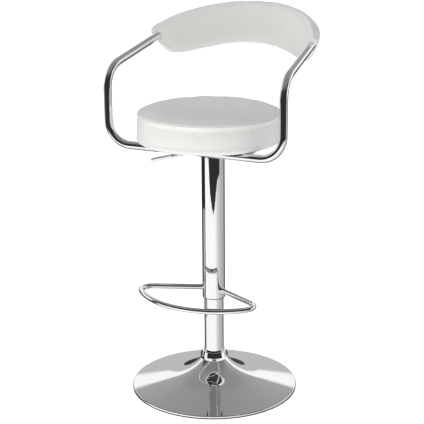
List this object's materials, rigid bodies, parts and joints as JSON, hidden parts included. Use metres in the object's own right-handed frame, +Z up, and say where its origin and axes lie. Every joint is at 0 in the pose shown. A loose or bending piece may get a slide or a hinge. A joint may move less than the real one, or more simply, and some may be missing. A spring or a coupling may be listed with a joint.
{
  "type": "swivel bar stool",
  "caption": "Height-adjustable swivel bar stool with a chromed trumpet base, sliding column, foot ring, round padded seat and a curved padded backrest on bent tubular arms.",
  "frame": {"origin": "on the floor, at the axis of the column, in the middle of the base's underside", "axes": "+Z up along the column, -Y towards the sitter's front, +X to the sitter's left"},
  "size_m": [0.469, 0.4923, 0.9339],
  "materials": {
    "chrome_tube": "polished chrome plate",
    "chrome_base": "polished chrome plate",
    "zinc_steel": "zinc plated",
    "raw_steel": "oiled, ground",
    "black_steel": "black powder coat",
    "cast_ballast": "as cast, painted",
    "black_rubber": "matt",
    "black_plastic": "moulded, matt",
    "white_leatherette": "fine grained, semi-gloss",
    "plywood": "sanded, unfinished"
  },
  "bodies": {
    "base": {"base_shell": "chrome_base", "floor_ring": "black_rubber", "bottom_plate": "black_steel", "ballast_disc": "cast_ballast", "neck_ring": "chrome_tube", "neck_seal": "black_rubber", "lower_column": "chrome_tube", "column_foot_plug": "raw_steel", "column_flange": "black_steel", "column_bolts": "zinc_steel", "column_nuts": "zinc_steel", "lower_race": "raw_steel", "bearing_balls": "raw_steel", "bearing_cage": "black_plastic", "column_guide": "black_plastic"},
    "swivel": {"piston_rod": "raw_steel", "upper_race": "raw_steel", "retaining_clip": "zinc_steel", "rod_collar": "zinc_steel", "rod_buffer": "black_rubber", "piston": "raw_steel"},
    "seat": {"gas_cylinder": "black_steel", "cylinder_seal": "black_rubber", "outer_sleeve": "chrome_tube", "sleeve_glide": "black_plastic", "sleeve_cap": "black_plastic", "foot_ring": "chrome_tube", "foot_collars": "chrome_tube", "seat_hub": "black_steel", "seat_plate": "black_steel", "seat_bolts": "zinc_steel", "lever_bracket": "black_steel", "lever_pin": "zinc_steel", "seat_board": "plywood", "seat_cushion": "white_leatherette", "arm_frame": "chrome_tube", "frame_tabs": "chrome_tube", "frame_screws": "zinc_steel", "backrest_front": "white_leatherette", "backrest_board": "plywood", "backrest_rear": "white_leatherette"},
    "lever": {"release_lever": "chrome_tube", "lever_paddle": "chrome_tube"},
    "valve": {"valve_pin": "zinc_steel"}
  },
  "joints": [
    {"name": "swivel_turn", "type": "hinge", "parent": "base", "child": "swivel", "pos_m": [0, 0, 0.03], "axis": [0, 0, 1], "continuous": true},
    {"name": "seat_height", "type": "slide", "parent": "swivel", "child": "seat", "axis": [0, 0, 1], "range_m": [-0.09, 0.12]},
    {"name": "lever_lift", "type": "hinge", "parent": "seat", "child": "lever", "pos_m": [-0.036, 0, 0.6], "axis": [0, 1, 0], "range_deg": [0, 6], "stiffness_Nm_per_rad": 2},
    {"name": "valve_press", "type": "slide", "parent": "seat", "child": "valve", "axis": [0, 0, -1], "range_m": [0, 0.0038]}
  ],
  "couplings": [
    {"joint": "valve_press", "follows": "lever_lift", "m_per_rad": 0.036}
  ]
}
